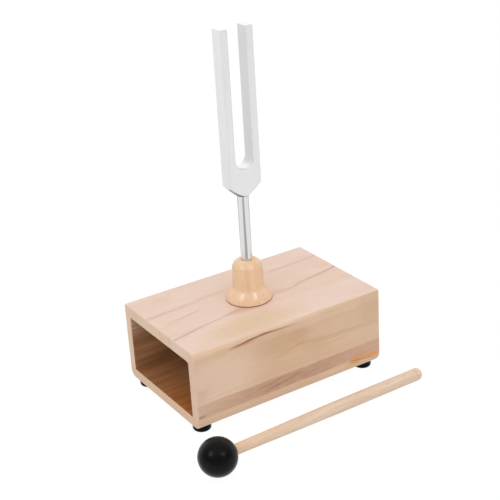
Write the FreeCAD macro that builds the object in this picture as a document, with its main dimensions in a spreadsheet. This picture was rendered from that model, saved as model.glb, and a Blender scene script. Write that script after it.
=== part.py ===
import FreeCAD, Part

import math
import os
import re

import Sketcher
from FreeCAD import Placement, Rotation, Vector

# A tuning fork on its resonance box, with its mallet, in millimetres.
# +Z is up and Z = 0 is the table. The Z axis is the stem's axis. +X runs along the box to its
# closed end, and the fork's two tines stand side by side along X, so -Y is the front.

SIZES = {
    # resonance box: five boards, open at the -X end
    "box_length": 180.0,
    "box_width": 114.0,
    "box_height": 68.0,
    "board": 9.5,
    "box_shift": 2.1,          # the middle of the box lies this far along +X from the stem
    "edge_round": 1.2,         # sanded corner of every outer edge that isn't rounded further
    "front_round": 6.0,        # top front edge at the open end, which fades along the box
    "front_round_end": 1.2,    # the same edge at the closed end
    "bottom_round": 7.0,       # long lower edges
    "bottom_round_end": 3.5,   # lower edge at the closed end
    "cove_radius": 3.0,        # glue fillet in the upper front corner of the cavity
    # feet
    "foot_height": 6.5,
    "foot_radius": 7.5,
    "foot_round": 2.0,
    "foot_inset_along": 9.4,
    "foot_inset_across": 12.9,
    "foot_recess_radius": 4.4,
    "foot_recess_depth": 3.4,
    "foot_hole_radius": 1.9,
    "foot_pilot_depth": 8.0,
    # wood screws with a cross recess, and their washers
    "screw_radius": 1.6,
    "screw_head_radius": 3.3,
    "screw_head_height": 1.9,
    "screw_dome_radius": 2.2,
    "screw_point": 3.0,
    "foot_screw_length": 10.0,
    "socket_screw_length": 18.0,
    "recess_length": 3.6,
    "recess_width": 0.8,
    "recess_depth": 1.1,
    "washer_thickness": 0.8,
    "foot_washer_radius": 4.1,
    "socket_washer_radius": 6.0,
    "washer_hole_radius": 1.75,
    "pilot_radius": 1.65,
    # turned wooden socket, shaped like a bell
    "bell_height": 35.5,
    "bell_foot_radius": 18.4,
    "bell_rim_radius": 19.1,
    "bell_rim_height": 2.2,
    "bell_skirt_curve": 26.4,  # the skirt swells out from the rim to here
    "bell_skirt_radius": 14.9,
    "bell_skirt_height": 9.1,
    "bell_flare_curve": 7.6,   # and the flare curves in from there to the neck
    "bell_neck_radius": 13.1,
    "bell_neck_height": 13.7,
    "bell_wall_radius": 12.5,
    "bell_shoulder_height": 29.3,
    "bell_shoulder_curve": 8.0,
    "bell_top_radius": 6.8,
    "socket_depth": 25.0,
    "socket_clearance": 0.07,
    "socket_pilot_depth": 8.5,
    # polished steel stem
    "stem_radius": 4.65,
    "stem_exposed": 56.5,
    "stem_chamfer": 0.5,
    "spigot_radius": 3.0,
    "spigot_length": 9.0,
    "spigot_clearance": 0.05,
    "spigot_bore_depth": 9.5,
    # aluminium fork head
    "tine_thickness": 6.5,
    "tine_gap": 16.3,
    "tine_length": 113.1,
    "fork_depth": 12.5,
    "yoke_height": 23.7,
    "nose_radius": 5.3,
    "cone_height": 9.9,
    "fork_edge": 0.45,
    # mallet: a rubber ball on a tapered wooden handle, lying in front of the box
    "ball_radius": 15.4,
    "handle_neck_radius": 4.25,
    "handle_radius": 5.25,
    "handle_taper_end": 115.0,
    "handle_reach": 207.9,     # from the ball's centre to the handle's far end
    "handle_tenon": 5.0,       # how far the handle goes beyond the ball's centre
    "handle_clearance": 0.05,
    "handle_end_round": 3.4,
    "mallet_along": -101.0,    # the ball's centre
    "mallet_across": -106.3,
    "mallet_yaw": 4.0,         # turn of the handle from +X, in degrees
}

BOX_TOP = "(foot_height + box_height)"
SIDE_HEIGHT = "(box_height - 2 * board)"
HEAD_BASE = f"({BOX_TOP} + bell_height + stem_exposed)"
STEM_BASE = f"({BOX_TOP} + bell_height - socket_depth)"
FORK_WIDTH = "(tine_gap + 2 * tine_thickness)"
FOOT_SPAN_ALONG = "(box_length - 2 * foot_inset_along)"
FOOT_SPAN_ACROSS = "(box_width - 2 * foot_inset_across)"
FIRST_FOOT_X = f"box_shift - {FOOT_SPAN_ALONG} / 2"
FIRST_FOOT_Y = f"-{FOOT_SPAN_ACROSS} / 2"

TOLERANCE = 1e-6
NEAR = 1e-3

doc = FreeCAD.newDocument("TuningFork")
sheet = doc.addObject("Spreadsheet::Sheet", "Sizes")
for row, (alias, size) in enumerate(SIZES.items(), start=1):
    sheet.set(f"A{row}", alias)
    sheet.set(f"B{row}", str(size))
    sheet.setAlias(f"B{row}", alias)
doc.recompute()

sub_parts = []


def bound(formula):
    """The formula with each size's name written as a reference to the sheet."""
    return re.sub(r"[a-z][a-z_]*", lambda m: "Sizes." + m[0] if m[0] in SIZES else m[0], formula)


def value(formula):
    """The formula's number, from the sheet."""
    return float(sheet.evalExpression(bound(formula)))


def new_body(label):
    body = doc.addObject("PartDesign::Body", label)
    body.Label = label
    sub_parts.append(body)
    return body


def place(part, x="0", y="0", z="0"):
    """Puts a sub-part's own origin at a point that stays bound to the sheet."""
    for axis, formula in zip("xyz", (x, y, z)):
        part.setExpression(f"Placement.Base.{axis}", bound(formula))


def new_sketch(body, plane_role, name, offset="0"):
    """A sketch on one of the body's own planes, moved along the plane's normal by offset."""
    plane = next(f for f in body.Origin.OriginFeatures if f.Role == plane_role)
    sketch = body.newObject("Sketcher::SketchObject", name)
    sketch.AttachmentSupport = [(plane, "")]
    sketch.MapMode = "FlatFace"
    sketch.setExpression("AttachmentOffset.Base.z", bound(offset))
    return sketch


def bind(sketch, kind, geometry, formula):
    index = sketch.addConstraint(Sketcher.Constraint(kind, *geometry, value(formula)))
    sketch.setExpression(f"Constraints[{index}]", bound(formula))


def pin(sketch, geometry, point, x, y):
    """Binds a point of the sketch to its distances from the sketch's origin."""
    for kind, axis, formula in (("DistanceX", -2, x), ("DistanceY", -1, y)):
        if formula == "0":
            sketch.addConstraint(Sketcher.Constraint("PointOnObject", geometry, point, axis))
        else:
            bind(sketch, kind, (-1, 1, geometry, point), formula)


def circle(sketch, x, y, radius):
    centre = Vector(value(x), value(y), 0)
    index = sketch.addGeometry(Part.Circle(centre, Vector(0, 0, 1), value(radius)))
    pin(sketch, index, 3, x, y)
    bind(sketch, "Radius", (index,), radius)


def arc_between(start, end, radius, turn):
    """An arc from start to end, with its centre on the left (turn 1) or the right (turn -1)."""
    chord = end - start
    left = Vector(-chord.y, chord.x, 0).normalize()
    rise = math.sqrt(radius**2 - (chord.Length / 2) ** 2)
    centre = (start + end) / 2 + left * turn * rise
    first, last = (start, end) if turn > 0 else (end, start)
    angles = [math.atan2(p.y - centre.y, p.x - centre.x) for p in (first, last)]
    return Part.ArcOfCircle(Part.Circle(centre, Vector(0, 0, 1), radius), *angles)


def outline(sketch, corners):
    """Draws a closed outline with every corner bound to the sheet.

    A corner is (x, y) before a straight edge and (x, y, radius, turn) before an arc.
    """
    points = [Vector(value(c[0]), value(c[1]), 0) for c in corners]
    edges = []
    for corner, start, end in zip(corners, points, points[1:] + points[:1]):
        if len(corner) == 2:
            edges.append((sketch.addGeometry(Part.LineSegment(start, end)), 1, 2))
            continue
        radius, turn = corner[2:]
        index = sketch.addGeometry(arc_between(start, end, value(radius), turn))
        edges.append((index, 1, 2) if turn > 0 else (index, 2, 1))
    for (edge, _, end), (following, start, _) in zip(edges, edges[1:] + edges[:1]):
        sketch.addConstraint(Sketcher.Constraint("Coincident", edge, end, following, start))
    for corner, (edge, start, _) in zip(corners, edges):
        pin(sketch, edge, start, corner[0], corner[1])
        if len(corner) == 4:
            bind(sketch, "Radius", (edge,), corner[2])


def rectangle(sketch, x, y, width, height):
    """A rectangle centred at x, y."""
    left, right = f"{x} - {width} / 2", f"{x} + {width} / 2"
    low, high = f"{y} - {height} / 2", f"{y} + {height} / 2"
    outline(sketch, [(left, low), (right, low), (right, high), (left, high)])


def pad(body, sketch, length, side="One side"):
    feature = body.newObject("PartDesign::Pad", "Pad")
    feature.Profile = sketch
    feature.SideType = side
    feature.setExpression("Length", bound(length))
    doc.recompute()
    return feature


def cut(body, kind, sketch, **settings):
    """A Pocket or Groove, which has to take something away."""
    before = body.Shape.Volume
    feature = body.newObject(f"PartDesign::{kind}", kind)
    feature.Profile = sketch
    for name, setting in settings.items():
        if name == "depth":
            feature.setExpression("Length", bound(setting))
        else:
            setattr(feature, name, setting)
    doc.recompute()
    if body.Shape.Volume > before - TOLERANCE:
        raise RuntimeError(f"{kind} in {body.Label} cuts nothing")
    return feature


def revolve(body, sketch):
    feature = body.newObject("PartDesign::Revolution", "Revolution")
    feature.Profile = sketch
    feature.ReferenceAxis = (sketch, ["V_Axis"])
    doc.recompute()
    return feature


def dress(body, kind, size, chosen):
    """A Fillet or Chamfer on the edges of the body that chosen() picks."""
    names = [f"Edge{i}" for i, edge in enumerate(body.Shape.Edges, start=1) if chosen(edge)]
    base = body.Tip
    feature = body.newObject(f"PartDesign::{kind}", kind)
    feature.Base = (base, names)
    feature.setExpression("Radius" if kind == "Fillet" else "Size", bound(size))
    doc.recompute()
    return feature


def runs_along(edge, axis):
    """True for a straight edge parallel to X, Y or Z."""
    if edge.Curve.TypeId != "Part::GeomLine":
        return False
    direction = edge.tangentAt(edge.FirstParameter)
    return abs(abs(getattr(direction, axis)) - 1) < TOLERANCE


def lies_at(edge, axis, position):
    """True when every point of the edge has the given x, y or z."""
    box = edge.BoundBox
    low, high = getattr(box, axis.upper() + "Min"), getattr(box, axis.upper() + "Max")
    return abs(low - position) < NEAR and abs(high - position) < NEAR


def board_blank(body, length, width, height):
    """A board with its own origin in the middle of its lower face."""
    sketch = new_sketch(body, "XY_Plane", "BoardOutline")
    rectangle(sketch, "0", "0", length, width)
    return pad(body, sketch, height)


# Resonance box -----------------------------------------------------------------------------------


def outer_edges(shape, x_side=None, y_side=None, z_side=None):
    """Numbers of a board's straight edges on the given outer sides (None means any)."""
    box = shape.BoundBox
    found = []
    for number, edge in enumerate(shape.Edges, start=1):
        sides = {
            "x": {None: None, "low": box.XMin, "high": box.XMax}[x_side],
            "y": {None: None, "low": box.YMin, "high": box.YMax}[y_side],
            "z": {None: None, "low": box.ZMin, "high": box.ZMax}[z_side],
        }
        if all(at is None or lies_at(edge, axis, at) for axis, at in sides.items()):
            found.append(number)
    return found


def rounded_board(label, blank, z_side, end_rounds, long_rounds, z):
    """A board rounded on its upright corners and around its upper or lower outer face.

    end_rounds are the radii at the open and the closed end. long_rounds are the front and the
    back edge's radii, each as a pair for the open and the closed end.
    """
    radii = {}
    for x_side, end_round in zip(("low", "high"), end_rounds):
        for number in outer_edges(blank.Shape, x_side=x_side, z_side=z_side):
            radii[number] = (value(end_round), value(end_round))
        for y_side in ("low", "high"):
            for number in outer_edges(blank.Shape, x_side=x_side, y_side=y_side):
                radii[number] = (value("edge_round"), value("edge_round"))
    for y_side, (at_open, at_closed) in zip(("low", "high"), long_rounds):
        for number in outer_edges(blank.Shape, y_side=y_side, z_side=z_side):
            edge = blank.Shape.Edges[number - 1]
            starts_open = edge.valueAt(edge.FirstParameter).x < 0
            pair = (value(at_open), value(at_closed))
            radii[number] = pair if starts_open else pair[::-1]

    board = doc.addObject("Part::Fillet", label)
    board.Label = label
    board.Base = blank
    board.Edges = [(number, first, last) for number, (first, last) in sorted(radii.items())]
    place(board, "box_shift", "0", z)
    sub_parts.append(board)
    doc.recompute()


def make_top_board():
    """The board that the socket stands on, with its long front edge sanded round."""
    blank = doc.addObject("PartDesign::Body", "top_board_blank")
    board_blank(blank, "box_length", "box_width", "board")
    hole = new_sketch(blank, "XY_Plane", "ScrewHole")
    circle(hole, "-box_shift", "0", "pilot_radius")
    cut(blank, "Pocket", hole, Type="ThroughAll", Reversed=True)
    rounded_board(
        "top_board", blank, "high",
        end_rounds=("edge_round", "edge_round"),
        long_rounds=(("front_round", "front_round_end"), ("edge_round", "edge_round")),
        z=f"{BOX_TOP} - board",
    )


def make_bottom_board():
    """The board that the feet are screwed to."""
    blank = doc.addObject("PartDesign::Body", "bottom_board_blank")
    board_blank(blank, "box_length", "box_width", "board")
    holes = new_sketch(blank, "XY_Plane", "ScrewHoles")
    for along in ("-", ""):
        for across in ("-", ""):
            circle(holes, f"{along}{FOOT_SPAN_ALONG} / 2", f"{across}{FOOT_SPAN_ACROSS} / 2",
                   "pilot_radius")
    cut(blank, "Pocket", holes, depth="foot_pilot_depth", Reversed=True)
    rounded_board(
        "bottom_board", blank, "low",
        end_rounds=("edge_round", "bottom_round_end"),
        long_rounds=(("bottom_round", "bottom_round"), ("bottom_round", "bottom_round")),
        z="foot_height",
    )


def make_side_board(label, side):
    """A side board: side is -1 for the front one, whose upper inner corner has a glue cove."""
    body = new_body(label)
    section = new_sketch(body, "YZ_Plane", "Section")
    corners = [("0", "0"), ("board", "0")]
    if side < 0:
        corners += [
            ("board", f"{SIDE_HEIGHT} - cove_radius", "cove_radius", -1),
            ("board + cove_radius", SIDE_HEIGHT),
        ]
    else:
        corners += [("board", SIDE_HEIGHT)]
    corners += [("0", SIDE_HEIGHT)]
    outline(section, corners)
    pad(body, section, "box_length", side="Symmetric")
    dress(
        body, "Fillet", "edge_round",
        lambda e: runs_along(e, "z") and lies_at(e, "y", 0),
    )
    if side < 0:
        place(body, "box_shift", "-box_width / 2", "foot_height + board")
    else:
        place(body, "box_shift", "box_width / 2", "foot_height + board")
        body.Placement = Placement(body.Placement.Base, Rotation(Vector(0, 0, 1), 180))


def make_end_board():
    """The closed end, between the two side boards."""
    body = new_body("end_board")
    sketch = new_sketch(body, "XY_Plane", "BoardOutline")
    rectangle(sketch, "0", "0", "board", "(box_width - 2 * board)")
    pad(body, sketch, SIDE_HEIGHT)
    cove = new_sketch(body, "YZ_Plane", "CoveRoom")
    low = "(board - box_width / 2)"
    outline(cove, [
        (low, SIDE_HEIGHT),
        (low, f"{SIDE_HEIGHT} - cove_radius", "cove_radius", -1),
        (f"{low} + cove_radius", SIDE_HEIGHT),
    ])
    cut(body, "Pocket", cove, Type="ThroughAll", SideType="Symmetric")
    place(body, "box_shift + box_length / 2 - board / 2", "0", "foot_height + board")


# Fasteners ---------------------------------------------------------------------------------------


def screw(body, length):
    """A pan head wood screw along Z, with its head's underside at the body's origin."""
    profile = new_sketch(body, "XZ_Plane", "Profile")
    outline(profile, [
        ("0", "-screw_head_height"),
        ("screw_head_radius / 2", "-screw_head_height", "screw_dome_radius", 1),
        ("screw_head_radius", "-screw_head_height / 4"),
        ("screw_head_radius", "0"),
        ("screw_radius", "0"),
        ("screw_radius", f"{length} - screw_point"),
        ("0", length),
    ])
    revolve(body, profile)
    cross = new_sketch(body, "XY_Plane", "CrossRecess", "-screw_head_height")
    long, short = "recess_length / 2", "recess_width / 2"
    outline(cross, [
        (long, f"-{short}"), (long, short), (short, short), (short, long),
        (f"-{short}", long), (f"-{short}", short), (f"-{long}", short), (f"-{long}", f"-{short}"),
        (f"-{short}", f"-{short}"), (f"-{short}", f"-{long}"), (short, f"-{long}"),
        (short, f"-{short}"),
    ])
    cut(body, "Pocket", cross, depth="recess_depth", Reversed=True)


def washer(body, radius):
    ring = new_sketch(body, "XY_Plane", "Ring")
    circle(ring, "0", "0", radius)
    circle(ring, "0", "0", "washer_hole_radius")
    pad(body, ring, "washer_thickness")


def at_every_foot(body):
    """Repeats the body's one solid at all four feet, counted from the first foot's place."""
    axes = {feature.Role: feature for feature in body.Origin.OriginFeatures}
    pattern = body.newObject("PartDesign::LinearPattern", "AtEveryFoot")
    pattern.Originals = [f for f in body.Group if f.isDerivedFrom("PartDesign::FeatureAddSub")]
    pattern.Direction = (axes["X_Axis"], [""])
    pattern.Direction2 = (axes["Y_Axis"], [""])
    pattern.Occurrences = 2
    pattern.Occurrences2 = 2
    pattern.setExpression("Length", bound(FOOT_SPAN_ALONG))
    pattern.setExpression("Length2", bound(FOOT_SPAN_ACROSS))
    body.Tip = pattern
    doc.recompute()
    place(body, FIRST_FOOT_X, FIRST_FOOT_Y, "foot_recess_depth - washer_thickness")


# Feet --------------------------------------------------------------------------------------------


def make_foot(label, along, across):
    """A rubber foot with a recess underneath for its washer and screw."""
    body = new_body(label)
    profile = new_sketch(body, "XZ_Plane", "Profile")
    outline(profile, [
        ("foot_recess_radius", "0"),
        ("foot_radius - foot_round", "0", "foot_round", 1),
        ("foot_radius", "foot_round"),
        ("foot_radius", "foot_height"),
        ("foot_hole_radius", "foot_height"),
        ("foot_hole_radius", "foot_recess_depth"),
        ("foot_recess_radius", "foot_recess_depth"),
    ])
    revolve(body, profile)
    sign_along, sign_across = ("+" if s > 0 else "-" for s in (along, across))
    place(body, f"box_shift {sign_along} {FOOT_SPAN_ALONG} / 2",
          f"0 {sign_across} {FOOT_SPAN_ACROSS} / 2")


def make_foot_fasteners():
    """The washers and the screws that hold the feet from below, each kind as one group."""
    washers = new_body("foot_washers")
    washer(washers, "foot_washer_radius")
    at_every_foot(washers)
    screws = new_body("foot_screws")
    screw(screws, "foot_screw_length")
    at_every_foot(screws)


# Socket ------------------------------------------------------------------------------------------


def make_bell_socket():
    """Turned wooden socket, with a blind hole for the stem and a pilot hole for its screw."""
    body = new_body("bell_socket")
    profile = new_sketch(body, "XZ_Plane", "Profile")
    floor = "bell_height - socket_depth"
    bore = "stem_radius + socket_clearance"
    outline(profile, [
        ("pilot_radius", "0"),
        ("bell_foot_radius", "0"),
        ("bell_rim_radius", "bell_rim_height / 3"),
        ("bell_rim_radius", "bell_rim_height", "bell_skirt_curve", 1),
        ("bell_skirt_radius", "bell_skirt_height", "bell_flare_curve", -1),
        ("bell_neck_radius", "bell_neck_height"),
        ("bell_wall_radius", "bell_shoulder_height", "bell_shoulder_curve", 1),
        ("bell_top_radius", "bell_height"),
        (bore, "bell_height"),
        (bore, floor),
        ("0", floor),
        ("0", "socket_pilot_depth"),
        ("pilot_radius", "socket_pilot_depth"),
    ])
    revolve(body, profile)
    place(body, z=BOX_TOP)


def make_socket_fasteners():
    """The screw from inside the box that holds the socket, and its washer."""
    ring = new_body("socket_washer")
    washer(ring, "socket_washer_radius")
    place(ring, z=f"{BOX_TOP} - board - washer_thickness")
    body = new_body("socket_screw")
    screw(body, "socket_screw_length")
    place(body, z=f"{BOX_TOP} - board - washer_thickness")


# Fork --------------------------------------------------------------------------------------------


def make_fork_stem():
    """Polished steel rod, stepped down to a spigot that goes into the head."""
    body = new_body("fork_stem")
    profile = new_sketch(body, "XZ_Plane", "Profile")
    shoulder = "socket_depth + stem_exposed"
    outline(profile, [
        ("0", "0"),
        ("stem_radius - stem_chamfer", "0"),
        ("stem_radius", "stem_chamfer"),
        ("stem_radius", shoulder),
        ("spigot_radius", shoulder),
        ("spigot_radius", f"{shoulder} + spigot_length - stem_chamfer"),
        ("spigot_radius - stem_chamfer", f"{shoulder} + spigot_length"),
        ("0", f"{shoulder} + spigot_length"),
    ])
    revolve(body, profile)
    place(body, z=STEM_BASE)


def make_fork_head():
    """U-shaped aluminium head: sawn from a bar, drilled and slotted, its lower end turned."""
    body = new_body("fork_head")
    height = "(yoke_height + tine_length)"
    blank = new_sketch(body, "XZ_Plane", "Blank")
    rectangle(blank, "0", f"{height} / 2", FORK_WIDTH, height)
    pad(body, blank, "fork_depth", side="Symmetric")

    drilled = new_sketch(body, "XZ_Plane", "SlotEnd")
    circle(drilled, "0", "yoke_height + tine_gap / 2", "tine_gap / 2")
    cut(body, "Pocket", drilled, Type="ThroughAll", SideType="Symmetric")
    slot = new_sketch(body, "XZ_Plane", "Slot")
    slot_height = "(tine_length - tine_gap / 2)"
    rectangle(slot, "0", f"yoke_height + tine_gap / 2 + {slot_height} / 2", "tine_gap", slot_height)
    cut(body, "Pocket", slot, Type="ThroughAll", SideType="Symmetric")

    half_depth = value("fork_depth") / 2
    top = value(height)
    dress(
        body, "Chamfer", "fork_edge",
        lambda e: (lies_at(e, "y", half_depth) or lies_at(e, "y", -half_depth)
                   or lies_at(e, "z", top)) and not lies_at(e, "z", 0),
    )

    turned = new_sketch(body, "XZ_Plane", "TurnedCone")
    corner_radius = "sqrt((tine_gap / 2 + tine_thickness) ^ 2 + (fork_depth / 2) ^ 2)"
    cone_width = f"({corner_radius} - nose_radius)"
    overcut = "nose_radius"
    outline(turned, [
        ("nose_radius", "0"),
        (f"{corner_radius} + {overcut}", "0"),
        (f"{corner_radius} + {overcut}", f"cone_height * (1 + {overcut} / {cone_width})"),
    ])
    cut(body, "Groove", turned, ReferenceAxis=(turned, ["V_Axis"]))

    bore = new_sketch(body, "XY_Plane", "SpigotBore")
    circle(bore, "0", "0", "spigot_radius + spigot_clearance")
    cut(body, "Pocket", bore, depth="spigot_bore_depth", Reversed=True)
    place(body, z=HEAD_BASE)


# Mallet ------------------------------------------------------------------------------------------


def mallet_placement():
    """The ball and the handle's far end both touch the table, so the handle slopes down."""
    radius = value("ball_radius")
    end_radius = value("handle_radius")
    touching = value("handle_reach") - value("handle_end_round")
    slope = math.asin((radius - end_radius) / touching)
    yaw = math.radians(value("mallet_yaw"))
    along = Vector(math.cos(slope) * math.cos(yaw), math.cos(slope) * math.sin(yaw), -math.sin(slope))
    centre = Vector(value("mallet_along"), value("mallet_across"), radius)
    return Placement(centre, Rotation(Vector(0, 0, 1), along))


def make_mallet_handle():
    """Tapered wooden stick. Its own origin is the ball's centre, and it runs along +Z."""
    body = new_body("mallet_handle")
    profile = new_sketch(body, "XZ_Plane", "Profile")
    outline(profile, [
        ("0", "-handle_tenon"),
        ("handle_neck_radius", "-handle_tenon"),
        ("handle_neck_radius", "ball_radius"),
        ("handle_radius", "handle_taper_end"),
        ("handle_radius", "handle_reach - handle_end_round", "handle_end_round", 1),
        ("handle_radius - handle_end_round", "handle_reach"),
        ("0", "handle_reach"),
    ])
    revolve(body, profile)
    body.Placement = mallet_placement()


def make_mallet_ball():
    """Solid rubber ball with a blind hole for the handle."""
    body = new_body("mallet_ball")
    profile = new_sketch(body, "XZ_Plane", "Profile")
    bore = "(handle_neck_radius + handle_clearance)"
    outline(profile, [
        ("0", "-ball_radius", "ball_radius", 1),
        (bore, f"sqrt(ball_radius ^ 2 - {bore} ^ 2)"),
        (bore, "-handle_tenon"),
        ("0", "-handle_tenon"),
    ])
    revolve(body, profile)
    body.Placement = mallet_placement()


def check_and_export():
    """Stops on any failed object or bad shape, then writes one file for each sub-part."""
    doc.recompute()
    for item in doc.Objects:
        if {"Invalid", "Error"} & set(item.State):
            raise RuntimeError(f"{item.Label} failed: {item.State}")
    os.makedirs("parts", exist_ok=True)
    for part in sub_parts:
        shape = part.Shape
        if shape.isNull() or not shape.isValid():
            raise RuntimeError(f"{part.Label} has a bad shape")
        shape.exportStep(f"parts/{part.Label}.step")
        print(f"{part.Label:18s} {len(shape.Solids)} solid(s) {shape.Volume:10.1f} mm3")


make_top_board()
make_bottom_board()
make_side_board("front_side_board", -1)
make_side_board("back_side_board", 1)
make_end_board()
for foot_label, foot_along, foot_across in (
    ("foot_front_open", -1, -1),
    ("foot_back_open", -1, 1),
    ("foot_front_closed", 1, -1),
    ("foot_back_closed", 1, 1),
):
    make_foot(foot_label, foot_along, foot_across)
make_foot_fasteners()
make_bell_socket()
make_socket_fasteners()
make_fork_stem()
make_fork_head()
make_mallet_handle()
make_mallet_ball()
check_and_export()
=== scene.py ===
"""The looks of a tuning fork on its resonance box, with its mallet.

Everything is in metres in the CAD frame: +Z is up, the Z axis is the fork's stem, +X runs along the
box to its closed end and -Y is the front. Named sizes are in millimetres, apart from the stage's,
and are multiplied by MM where Blender needs metres.
"""

import math

import bpy
from mathutils import Matrix, Vector


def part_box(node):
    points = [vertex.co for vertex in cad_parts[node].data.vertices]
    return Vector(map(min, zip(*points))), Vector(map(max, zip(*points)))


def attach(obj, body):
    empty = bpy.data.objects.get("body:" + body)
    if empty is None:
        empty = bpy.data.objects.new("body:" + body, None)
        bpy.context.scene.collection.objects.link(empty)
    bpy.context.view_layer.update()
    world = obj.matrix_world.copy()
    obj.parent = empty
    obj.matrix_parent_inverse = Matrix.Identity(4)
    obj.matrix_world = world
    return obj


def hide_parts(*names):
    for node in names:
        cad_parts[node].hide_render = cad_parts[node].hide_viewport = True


MM = 0.001

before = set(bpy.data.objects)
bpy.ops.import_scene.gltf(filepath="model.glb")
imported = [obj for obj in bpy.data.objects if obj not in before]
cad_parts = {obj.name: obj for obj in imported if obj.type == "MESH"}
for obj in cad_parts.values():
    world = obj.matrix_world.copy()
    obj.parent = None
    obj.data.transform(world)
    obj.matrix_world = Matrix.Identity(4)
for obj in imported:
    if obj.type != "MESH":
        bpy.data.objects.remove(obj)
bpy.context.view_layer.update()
scene = bpy.context.scene
scene.view_settings.view_transform = "Standard"


def node_box(node):
    """The lowest and highest corner of a CAD node, in millimetres."""
    return [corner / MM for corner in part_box(node)]


# Camera ---------------------------------------------------------

CAMERA_AZIMUTH = -31.58      # the three angles are in degrees
CAMERA_ELEVATION = 24.24
CAMERA_ROLL = -3.57
CAMERA_DISTANCE = 992.0      # from the middle of the box's top, as are the next two
CAMERA_RIGHT = -1.1
CAMERA_UP = 38.8
CAMERA_LENS = 85.65
CAMERA_REACH = 30.0          # in metres, beyond the floor's far edge


def camera_axes(azimuth, elevation, roll):
    """The right, up and back directions of a camera that looks at the object from there."""
    a, e, r = (math.radians(angle) for angle in (azimuth, elevation, roll))
    back = Vector((math.sin(a) * math.cos(e), -math.cos(a) * math.cos(e), math.sin(e)))
    right = Vector((math.cos(a), math.sin(a), 0.0))
    up = back.cross(right)
    return (
        right * math.cos(r) + up * math.sin(r),
        up * math.cos(r) - right * math.sin(r),
        back,
    )


RIGHT, UP, BACK = camera_axes(CAMERA_AZIMUTH, CAMERA_ELEVATION, CAMERA_ROLL)


def box_top_centre():
    """The middle of the box's top, from which the camera and the lights are placed."""
    low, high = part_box("top_board")
    return Vector(((low.x + high.x) / 2, (low.y + high.y) / 2, high.z))


def make_camera():
    """A camera at those angles and distances, with a lens of that length."""
    data = bpy.data.cameras.new("camera")
    data.lens = CAMERA_LENS
    data.clip_end = CAMERA_REACH
    camera = bpy.data.objects.new("camera", data)
    scene.collection.objects.link(camera)
    place = box_top_centre() + (RIGHT * CAMERA_RIGHT + UP * CAMERA_UP + BACK * CAMERA_DISTANCE) * MM
    rotation = Matrix((RIGHT, UP, BACK)).transposed()
    camera.matrix_world = Matrix.Translation(place) @ rotation.to_4x4()
    scene.camera = camera


# Material tools -------------------------------------------------

SEED_STEPS = (3.7, 1.9, 5.3)  # how far one seed moves the noise along each axis


def shade(red, green, blue):
    """A colour of a paint card, 0 to 255 a channel, as the shader's linear colour."""
    channels = []
    for byte in (red, green, blue):
        share = byte / 255
        channels.append(share / 12.92 if share <= 0.04045 else ((share + 0.055) / 1.055) ** 2.4)
    return (*channels, 1.0)


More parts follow.
